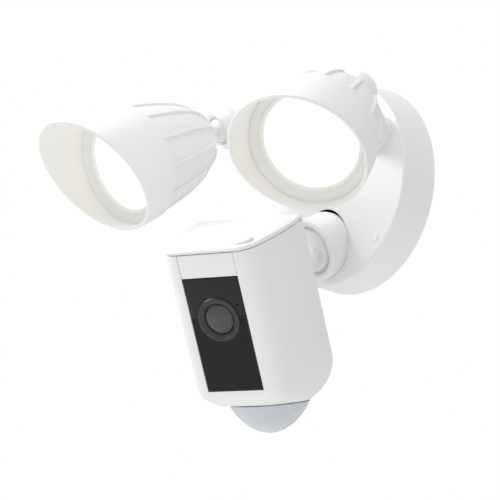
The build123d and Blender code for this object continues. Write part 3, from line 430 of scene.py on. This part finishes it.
# ------------------------------------------------------------------ lamps ---
MT = rad(22.0)
for side in ("left", "right"):
    fr = HEAD[side]
    body = f"lamp_{side}_head"

    # hood: per-angle profile, because the mouth is cut at a slant
    outer = smooth_path([(38.1, 79.1), (39.3, 90.0), (40.9, 113.0), (42.0, 134.0)], 60, (0.12, 1), (0.03, 1))
    inner = smooth_path([(36.5, 84.0), (37.0, 90.0), (38.7, 113.0), (39.8, 134.0)], 60, (0.1, 1), (0.03, 1))

    def r_at(curve, d):
        for i in range(len(curve) - 1):
            if curve[i][1] <= d <= curve[i + 1][1]:
                t = (d - curve[i][1]) / (curve[i + 1][1] - curve[i][1])
                return curve[i][0] * (1 - t) + curve[i + 1][0] * t
        return curve[-1][0] if d > curve[-1][1] else curve[0][0]

    segs = 192
    cols = []
    for j in range(segs):
        th = 2 * pi * j / segs
        d_cut = 113.5
        for _ in range(4):
            rc = r_at(outer, d_cut) - 1.1
            d_cut = 113.5 + (rc * sin(th) - 0.9) * tan(MT)
        lip = 1.1
        col = []
        # rear inner corner, rounded rear edge
        col += [(35.95, 78.4), (36.2, 78.0), (36.9, 78.0)]
        for q in range(6):
            a = rad(90 * q / 5)
            col.append((37.0 + 1.1 * sin(a), 79.1 - 1.1 * cos(a)))
        d0, d1 = 79.4, d_cut - lip
        for q in range(1, 31):
            d = d0 + (d1 - d0) * q / 30
            col.append((r_at(outer, d), d))
        ro, ri = r_at(outer, d1), r_at(inner, d1)
        hw = (ro - ri) / 2
        for q in range(1, 8):
            a = rad(180 * q / 8)
            col.append(((ro + ri) / 2 + hw * cos(a), d1 + lip * sin(a)))
        for q in range(0, 13):
            d = d1 + (84.6 - d1) * q / 12
            col.append((r_at(inner, d), d))
        col += [(36.1, 84.0), (33.4, 84.0), (33.2, 83.8), (33.2, 81.6), (33.4, 81.4), (35.6, 81.4), (35.9, 81.1),
                (35.92, 80.2), (35.94, 79.2)]
        cols.append([fr.P(r * cos(th), r * sin(th), d) for r, d in col])
    loops = [[cols[j][i] for j in range(segs)] for i in range(len(cols[0]))]
    hood = rings("hood_shell_" + side, loops, cyclic=True, angle=50)
    put(hood, HOOD_WHITE, body, "hood_" + side, slot="white_plastic")
    # the inside of the hood is a warmer, reflective white
    hood.data.materials.append(CREAM)
    for p in hood.data.polygons:
        c = p.center / MM - fr.o
        d = c.dot(fr.n)
        rr = (c - fr.n * d).length
        if d > 83.5 and rr < (r_at(outer, min(d, 134)) + r_at(inner, min(d, 134))) / 2 - 0.05 and (p.normal.dot(c - fr.n * d) < 0):
            p.material_index = 1

    # finned heat sink
    base = [(lx, ld) for lx, ld in smooth_path([(11.0, 19.4), (17.6, 25.0), (24.0, 34.0), (28.6, 46.0), (32.4, 61.5), (35.3, 77.5)], 36, (1, 0.35), (0.16, 1))]
    ribs = [(lx, ld) for lx, ld in smooth_path([(12.2, 18.2), (19.4, 24.4), (25.6, 33.4), (30.2, 45.6), (34.1, 61.0), (36.9, 77.5)], 36, (1, 0.35), (0.15, 1))]
    offs = [-1.35, -1.02, -0.86, -0.6, 0.0, 0.6, 0.86, 1.02, 1.35]
    wts = [0.0, 0.08, 0.80, 0.97, 1.0, 0.97, 0.80, 0.08, 0.0]
    collar = rounded([(4.6, 28.0, 0), (4.6, 14.3, 0.3), (8.2, 14.3, 0.7), (9.4, 20.2, 0.8)], n=3)[:]
    loops = []

    def plain(r, d):
        lp = []
        for i in range(12):
            th0 = rad(15.0 + 30.0 * i)
            for o in offs:
                lp.append(fr.P(r * cos(th0 + o / 30.0), r * sin(th0 + o / 30.0), d))
            a0, a1 = th0 + 1.35 / 30.0, th0 + rad(30) - 1.35 / 30.0
            for q in range(1, 7):
                a = a0 + (a1 - a0) * q / 7
                lp.append(fr.P(r * cos(a), r * sin(a), d))
        return lp

    for r, d in [(34.2, 80.6), (33.4, 77.5), (31.2, 66.0), (30.6, 64.0), (25.0, 64.0), (25.0, 50.0), (15.5, 32.0), (12.0, 28.0), (4.6, 28.0), (4.6, 14.7), (5.0, 14.3), (7.4, 14.3),
                 (8.0, 14.5), (8.3, 15.1), (8.5, 16.2), (8.1, 16.6), (8.2, 17.2), (9.0, 17.7), (9.3, 18.6), (9.5, 19.2), (10.2, 19.4)]:
        loops.append(plain(r, d))
    for k in range(36):
        (rb, db), (rr, dr) = base[k], ribs[k]
        lp = []
        grow = min(1.0, k / 2.0)
        for i in range(12):
            th0 = rad(15.0 + 30.0 * i)
            for o, w in zip(offs, wts):
                w = w * grow
                r, d = rb + (rr - rb) * w, db + (dr - db) * w
                a = th0 + o / max(rb, 9.0)
                lp.append(fr.P(r * cos(a), r * sin(a), d))
            s = 1.35 / max(rb, 9.0)
            a0, a1 = th0 + s, th0 + rad(30) - s
            for q in range(1, 7):
                a = a0 + (a1 - a0) * q / 7
                crown = 0.45 * sin(pi * q / 7) * grow
                lp.append(fr.P((rb + crown) * cos(a), (rb + crown) * sin(a), db))
        loops.append(lp)
    for r, d in [(35.5, 77.8), (35.6, 80.3), (35.3, 80.9), (34.6, 80.9)]:
        loops.append(plain(r, d))
    sink = rings("finned_heat_sink_" + side, loops, cyclic=True, angle=40)
    put(sink, WHITE_CAST, body, "heat_sink_" + side, slot="white_metal")

    # glowing lens and its two-step bezel
    prof = [(0, 84.2), (31.2, 84.2), (31.5, 84.5), (31.5, 86.1), (31.2, 86.4), (29.0, 86.4)]
    prof += [(29.0 * cos(rad(t)), 86.4 + 1.1 * sin(rad(t))) for t in range(8, 90, 6)] + [(0, 87.5)]
    lens = solid_lathe("lamp_diffuser_" + side, prof, fr)
    put(lens, LAMP[side], body, "lamp_lens_" + side, slot="diffuser")
    prof = [(29.3, 86.6), (36.66, 86.6), (36.97, 90.6), (36.9, 90.7)]
    prof += smooth_path([(36.6, 90.2), (35.6, 89.2), (34.0, 88.75), (31.9, 88.6)], 9, (-0.4, -1), (-1, -0.02))
    prof += rounded([(31.75, 88.6, 0), (31.6, 89.3, 0.3), (29.9, 89.0, 0.4), (29.0, 87.6, 0.3), (29.1, 86.8, 0.1)], n=3)[1:]
    bez = lathe("lamp_bezel_" + side, prof, fr)
    put(bez, CREAM, body, "lens_bezel_" + side, slot="white_plastic")

# ------------------------------------------------------------ camera unit ---
HALF = [(21.0, 0.0), (26.3, 2.4), (29.6, 6.8), (32.6, 16.6), (34.9, 29.0), (36.2, 41.0), (36.4, 52.5), (35.2, 64.0)]
right = [(21.0 * q / 8, 0.0) for q in range(8)]
right += smooth_path(HALF, 56, (1, 0.12), (-0.22, 1))[:-1]
c = Vector((35.2, 64.0))
s, e = Vector((35.4, 62.6)), Vector((33.8, 64.0))
right = [p for p in right if p[1] < 62.2]
right += [tuple(s * (1 - w) ** 2 + c * (2 * w * (1 - w)) + e * w * w) for w in (0, 0.25, 0.5, 0.75, 1.0)]
right += [(33.8 * (1 - q / 8), 64.0) for q in range(1, 9)]
LOOP = right + [(-p[0], p[1]) for p in reversed(right[1:-1])]
M = len(LOOP)


def normals(loop):
    res = []
    for i in range(len(loop)):
        a, b = Vector(loop[i - 1]), Vector(loop[(i + 1) % len(loop)])
        t = (b - a).normalized()
        res.append(Vector((t.y, -t.x)))
    return res


NRM = normals(LOOP)
if NRM[0].y > 0:
    NRM = [-q for q in NRM]
PERIM = [0.0]
for i in range(1, M + 1):
    PERIM.append(PERIM[-1] + (Vector(LOOP[i % M]) - Vector(LOOP[i - 1])).length)
W = []
for i in range(M):
    f = s_ = r_ = tot = 0.0
    for j in range(M):
        ds = abs(PERIM[i] - PERIM[j])
        ds = min(ds, PERIM[M] - ds)
        g = math.exp(-((ds / 9.0) ** 2)) * (PERIM[j + 1] - PERIM[j])
        f += g * max(0, -NRM[j].y) ** 2
        s_ += g * NRM[j].x ** 2
        r_ += g * max(0, NRM[j].y) ** 2
        tot += g
    W.append((f / tot, s_ / tot, r_ / tot))


def seam_v(y):
    return -47.4 - 0.325 * y


def cap_seam(y):
    return 50.8 - 0.035 * y


YC, RING, CA = 36.5, 24.8, cos(math.atan(0.325))


def ring_pt(th, r):
    """Point of the sensor's rim circle in the slanted seam plane."""
    y = YC + r * sin(th) * CA
    return r * cos(th), seam_v(y), y


def UP(u, v, y):
    return UNIT.P(u, v, -y)


def shell_column(i, depth):
    """Points from the cap seam down to the dome on the wall 'depth' inside the outer surface."""
    (x, y), nn, (f, s_, r_) = LOOP[i], NRM[i], W[i]
    x, y = x - nn.x * depth, y - nn.y * depth
    vs = -37.0 * f - 32.0 * s_ - 44.0 * r_
    th = math.atan2((LOOP[i][1] - YC) / CA, LOOP[i][0])
    cx, vv, cy = ring_pt(th, RING + 0.15 - depth * 0.9)
    ve = ring_pt(th, RING + 0.15)[1] + 0.3
    top = cap_seam(y) - 0.3
    pts = []
    for q in range(9):
        pts.append((x, top + (vs - top) * (q / 8) ** 1.0, y))
    tm = 60.0 * f + 70.0 * s_ + 80.0 * r_
    for q in range(1, 21):
        t = rad(tm * q / 20)
        h, g = (1 - cos(t)) / (1 - cos(rad(tm))), sin(t) / sin(rad(tm))
        pts.append((x + (cx - x) * h, vs + (ve - vs) * g, y + (cy - y) * h))
    return pts


cols = []
for i in range(M):
    out = shell_column(i, 0.0)
    inn = shell_column(i, 2.2)
    a = out[0]
    nn = NRM[i]
    rim = [(a[0] - nn.x * 0.5, a[1], a[2] - nn.y * 0.5), (a[0] - nn.x * 0.15, a[1] - 0.12, a[2] - nn.y * 0.15), (a[0], a[1] - 0.45, a[2])]
    cols.append([UP(*p) for p in rim + out[1:] + list(reversed(inn))])
loops = [[cols[j][i] for j in range(M)] for i in range(len(cols[0]))]
shell = rings("camera_body_shell", loops, cyclic=True, angle=38)
cut(shell, block(UNIT, -18.8, 18.8, -36.0, 60.0, -3.4, 3.0), angle=38)
cut(shell, block(UNIT, -30.0, 30.0, -37.0, 47.0, -70.0, -58.9), angle=38)
put(shell, WHITE, "camera_head", "unit_shell", slot="white_plastic")

# top cap, with the button's well
loops = []
for dz, ins in ((0.12, 0.55), (0.2, 0.15), (0.5, 0.0), (1.3, 0.0), (1.75, 0.12), (2.1, 0.42), (2.32, 0.9), (2.4, 1.6)):
    loops.append([UP(LOOP[i][0] - NRM[i].x * ins, cap_seam(LOOP[i][1]) + dz, LOOP[i][1] - NRM[i].y * ins) for i in range(M)])
for t in (0.9, 0.78, 0.64, 0.48, 0.32, 0.16):
    loops.append([UP(LOOP[i][0] * t, cap_seam(32 + (LOOP[i][1] - 32) * t) + 2.4 + 1.3 * (1 - ((t - 0.0) / 0.97) ** 2.2),
                     32 + (LOOP[i][1] - 32) * t) for i in range(M)])
cap = rings("camera_top_cap", loops, start="cap", end=UP(0, cap_seam(32) + 3.7, 32), angle=30)
cn = (UNIT.v - UNIT.n * 0.035).normalized()
CAPF = Frame(UNIT.o + UNIT.v * 50.8, UNIT.u, -UNIT.n, cn)          # a = u, b = -n, c = height over the seam
if CAPF.u.cross(CAPF.v).dot(CAPF.n) < 0:
    pass
cut(cap, rod(CAPF, 20.5, 11.5, 6.35, -2.0, 6.0), angle=30)
put(cap, WHITE, "camera_head", "unit_top_cap", slot="white_plastic")
BTN = Frame(CAPF.o + CAPF.u * 20.5 + CAPF.v * 11.5, CAPF.u, CAPF.v, CAPF.n)
prof = [(0, -0.9), (7.1, -0.9), (7.3, -0.7), (7.3, 0.1), (7.1, 0.3), (6.15, 0.3), (6.0, 0.5), (6.0, 2.7)]
prof += [(4.9 + 1.1 * cos(rad(t)), 2.75 + 1.1 * sin(rad(t))) for t in (10, 25, 40, 55, 70, 85)]
prof += [(4.3, 3.83), (3.5, 3.72), (2.0, 3.62), (0, 3.6)]
btn = solid_lathe("press_button", prof, BTN, segs=96)
put(btn, WHITE, "button", "setup_button", slot="white_plastic")

# blank plate over the black panel, with a fine edge radius
plate = prism("upper_plate", UNIT, [(-18.5, 36.1), (18.5, 36.1), (18.5, 50.35), (-18.5, 50.35)], -3.1, 0.0, 0.25)
put(plate, WHITE, "camera_head", "blank_plate", slot="white_plastic")

# glossy window with the lens opening
win = prism("gloss_window", UNIT, [(-18.5, 10.8), (18.5, 10.8), (18.5, 35.7), (-18.5, 35.7)], -3.1, 0.0, 0.3)
cut(win, rod(UNIT, 0, 9.7, 13.75, -5, 3, 128))
cut(win, rod(UNIT, 14.4, 18.4, 0.55, -5, 3, 32))
put(win, PANEL, "camera_head", "face_window", slot="black_gloss")

# perforated grille over the lower part
pitch, hole = 1.18, 0.36
x0, x1, y0, y1 = -18.5, 18.5, -35.7, 10.6
nx, ny = int((x1 - x0 - 1.2) / pitch), int((y1 - y0 - 1.2) / pitch)
mx, my = (x1 - x0 - nx * pitch) / 2, (y1 - y0 - ny * pitch) / 2
vid, V2, F2 = {}, [], []


def vtx(x, y):
    k = (round(x * 1000), round(y * 1000))
    if k not in vid:
        vid[k] = len(V2)
        V2.append((x, y))
    return vid[k]


for i in range(nx):
    for j in range(ny):
        cx, cy = x0 + mx + (i + 0.5) * pitch, y0 + my + (j + 0.5) * pitch
        dist = math.hypot(cx, cy - 9.7)
        if dist < 12.6:
            continue
        h = pitch / 2
        sq = [vtx(cx + h, cy), vtx(cx + h, cy + h), vtx(cx, cy + h), vtx(cx - h, cy + h),
              vtx(cx - h, cy), vtx(cx - h, cy - h), vtx(cx, cy - h), vtx(cx + h, cy - h)]
        if dist < 14.6:
            F2.append(tuple(sq))
            continue
        oc = [vtx(cx + hole * cos(rad(45 * q)), cy + hole * sin(rad(45 * q))) for q in range(8)]
        for q in range(8):
            F2.append((sq[q], sq[(q + 1) % 8], oc[(q + 1) % 8], oc[q]))
# plain border strips
ax, bx, ay, by = x0 + mx, x1 - mx, y0 + my, y1 - my
xs = [ax + pitch / 2 * q for q in range(2 * nx + 1)]
ys = [ay + pitch / 2 * q for q in range(2 * ny + 1)]
for q in range(len(xs) - 1):
    F2.append((vtx(xs[q], y0), vtx(xs[q + 1], y0), vtx(xs[q + 1], ay), vtx(xs[q], ay)))
    if math.hypot((xs[q] + xs[q + 1]) / 2, by - 9.7) > 12.4:
        F2.append((vtx(xs[q], by), vtx(xs[q + 1], by), vtx(xs[q + 1], y1), vtx(xs[q], y1)))
for q in range(len(ys) - 1):
    F2.append((vtx(x0, ys[q]), vtx(ax, ys[q]), vtx(ax, ys[q + 1]), vtx(x0, ys[q + 1])))
    F2.append((vtx(bx, ys[q]), vtx(x1, ys[q]), vtx(x1, ys[q + 1]), vtx(bx, ys[q + 1])))
for xa, xb in ((x0, ax), (bx, x1)):
    for ya, yb in ((y0, ay), (by, y1)):
        F2.append((vtx(xa, ya), vtx(xb, ya), vtx(xb, yb), vtx(xa, yb)))
edges = {}
for f in F2:
    for q in range(len(f)):
        a, b_ = f[q], f[(q + 1) % len(f)]
        edges[(a, b_)] = edges.get((a, b_), 0) + 1
nV = len(V2)
verts = [UNIT.P(x, y, -0.05) for x, y in V2] + [UNIT.P(x, y, -0.95) for x, y in V2]
faces = [tuple(f) for f in F2] + [tuple(reversed([q + nV for q in f])) for f in F2]
for (a, b_) in edges:
    if (b_, a) not in edges:
        faces.append((b_, a, a + nV, b_ + nV))
grille = finish_mesh("perforated_grille", verts, faces, 30)
put(grille, MESH_BLACK, "camera_head", "speaker_grille", slot="black_matte")
back = prism("grille_backing", UNIT, [(-18.2, -35.4), (18.2, -35.4), (18.2, -4.6), (-18.2, -4.6)], -2.9, -1.6, 0.2)
put(back, RUBBER, "camera_head", slot="black_matte")

# lens surround with stepped baffle, glass and an inner element
LENS = Frame(UNIT.o + UNIT.v * 9.7, UNIT.u, UNIT.v, UNIT.n)
prof = rounded([(9.6, -5.0, 0.1), (13.7, -5.0, 0.1), (13.7, 0.55, 0.25), (13.15, 1.2, 0.3), (11.9, 1.25, 0.25), (11.4, 0.7, 0.15),
                (10.9, 0.65, 0.12), (10.6, 0.15, 0.12), (10.2, 0.1, 0.1), (9.9, -0.5, 0.12), (9.6, -0.6, 0.1)], n=3)
put(lathe("lens_surround", prof, LENS, 128), RINGBLACK, "camera_head", "lens_ring", slot="black_matte")
prof = [(0, -2.6), (9.3, -2.6), (9.5, -2.4), (9.5, -1.1), (9.3, -0.92)]
prof += [(9.3 * cos(rad(t)), -0.92 + 1.72 * sin(rad(t))) for t in range(10, 90, 8)] + [(0, 0.8)]
put(solid_lathe("front_lens", prof, LENS, 128), GLASS, "camera_head", "lens_glass", slot="lens_glass")
IRIS = surface("iris_grey", (0.055, 0.064, 0.062), rough=0.3, var=0.15, bump=0.05)
prof = rounded([(3.9, -3.5, 0.1), (4.6, -3.0, 0.15), (6.6, -2.9, 0.15), (7.2, -2.75, 0.1), (9.2, -2.7, 0.1), (9.2, -3.5, 0.1)], n=2)
put(lathe("lens_baffle", prof, LENS, 128), IRIS, "camera_head", slot="black_matte")
COAT = surface("violet_coating", (0.03, 0.035, 0.07), rough=0.06, var=0.3, rvar=0.02, bump=0.01, coat=1.0, coat_rough=0.02)
prof = [(0, -4.4), (3.7, -4.4), (3.8, -4.2)] + [(3.8 * cos(rad(t)), -4.1 + 1.3 * sin(rad(t))) for t in range(8, 90, 9)] + [(0, -2.8)]
put(solid_lathe("inner_lens_element", prof, LENS, 96), COAT, "camera_head", slot="lens_glass")

# milky dome under the slanted seam, a bowl square to the seam plane
SA = sin(math.atan(0.325))
DOMEF = Frame(UNIT.P(0, seam_v(YC), -YC) / MM, UNIT.u, (UNIT.n * CA + UNIT.v * SA), (UNIT.n * SA - UNIT.v * CA))
DH = 18.6


def bowl(t, r, h):
    return r * math.sqrt(max(0.0, 1 - t**1.15)), h * t


QS = [1 - (1 - q / 26) ** 2 for q in range(27)]
prof = [(0, DH - 1.8)] + [bowl(t, RING - 1.8, DH - 1.8) for t in reversed(QS[:-1])]
prof[-1] = (RING - 1.8, 0.2)
prof += [(RING - 0.55, 0.2), (RING - 0.15, 0.3), (RING, 0.6)]
prof += [(r, max(0.9, d)) for r, d in (bowl(t, RING, DH) for t in QS[1:-1])] + [(0, DH)]
dome = solid_lathe("sensor_dome", prof, DOMEF, 160, 40)
put(dome, DOME, "camera_head", "motion_dome", slot="dome")
prof = [(0, -1.2), (16.7, -1.2), (17.0, -0.9), (17.0, 0.0), (16.7, 0.3), (0, 0.3)]
put(solid_lathe("sensor_board", prof, DOMEF, 96), WHITE, "camera_head", "motion_board", slot="pcb")
prof = [(0, 0.45), (5.1, 0.45), (5.1, 0.95), (4.6, 1.0), (4.6, 4.3), (4.3, 4.6), (2.9, 4.6), (2.8, 4.5), (0, 4.5)]
put(solid_lathe("pyroelectric_sensor", prof, DOMEF, 96), STEEL, "camera_head", "motion_sensor", slot="steel")

# ------------------------------------------------------ stage and lighting ---
bpy.ops.mesh.primitive_plane_add(size=8, location=(0, 0, -0.62))
floor = bpy.context.object
floor.name = "floor"
FL = surface("pale_floor", (0.86, 0.86, 0.86), rough=0.6, var=0.01, bump=0.02, grain=60.0)
floor.data.materials.append(FL)

world = bpy.data.worlds.new("studio")
bpy.context.scene.world = world
world.use_nodes = True
wn = world.node_tree
bg = wn.nodes["Background"]
bg.inputs["Color"].default_value = (1, 1, 1, 1)
bg.inputs["Strength"].default_value = 0.69
bg2 = wn.nodes.new("ShaderNodeBackground")
bg2.inputs["Color"].default_value = (1, 1, 1, 1)
bg2.inputs["Strength"].default_value = 1.0
lp_ = wn.nodes.new("ShaderNodeLightPath")
mixs = wn.nodes.new("ShaderNodeMixShader")
wn.links.new(lp_.outputs["Is Camera Ray"], mixs.inputs["Fac"])
wn.links.new(bg.outputs["Background"], mixs.inputs[1])
wn.links.new(bg2.outputs["Background"], mixs.inputs[2])
wn.links.new(mixs.outputs["Shader"], wn.nodes["World Output"].inputs["Surface"])


def area(name, loc, target, size, power, color=(1, 1, 1)):
    ld = bpy.data.lights.new(name, "AREA")
    ld.shape, ld.size, ld.energy, ld.color = "DISK", size, power, color
    ob = bpy.data.objects.new(name, ld)
    bpy.context.scene.collection.objects.link(ob)
    ob.location = loc
    ob.rotation_mode = "QUATERNION"
    ob.rotation_quaternion = (Vector(target) - Vector(loc)).to_track_quat("-Z", "Y")
    return ob


mid = (0.01, -0.09, -0.03)
area("key", (-0.85, -0.85, 0.85), mid, 0.8, 15.0)
area("top", (0.1, -0.3, 1.3), mid, 1.0, 5.5)
area("fill", (0.9, -1.2, -0.1), mid, 1.2, 1.5)

cam_data = bpy.data.cameras.new("camera")
cam = bpy.data.objects.new("camera", cam_data)
bpy.context.scene.collection.objects.link(cam)
back_dir = Vector((0.7496, -0.6312, -0.1994)).normalized()
right_dir = Vector((0.6491, 0.7600, 0.0342)).normalized()
up_dir = back_dir.cross(right_dir).normalized()
right_dir = up_dir.cross(back_dir).normalized()
from mathutils import Matrix

rot = Matrix((right_dir, up_dir, back_dir)).transposed()
cam.matrix_world = Matrix.Translation((0.9302, -0.8754, -0.3013)) @ rot.to_4x4()
cam_data.sensor_width = 36.0
cam_data.lens = 144.0
cam_data.clip_start, cam_data.clip_end = 0.05, 50.0
cam_data.dof.use_dof = False
bpy.context.scene.camera = cam
bpy.context.scene.view_settings.view_transform = "Standard"
bpy.context.scene.view_settings.look = "None"
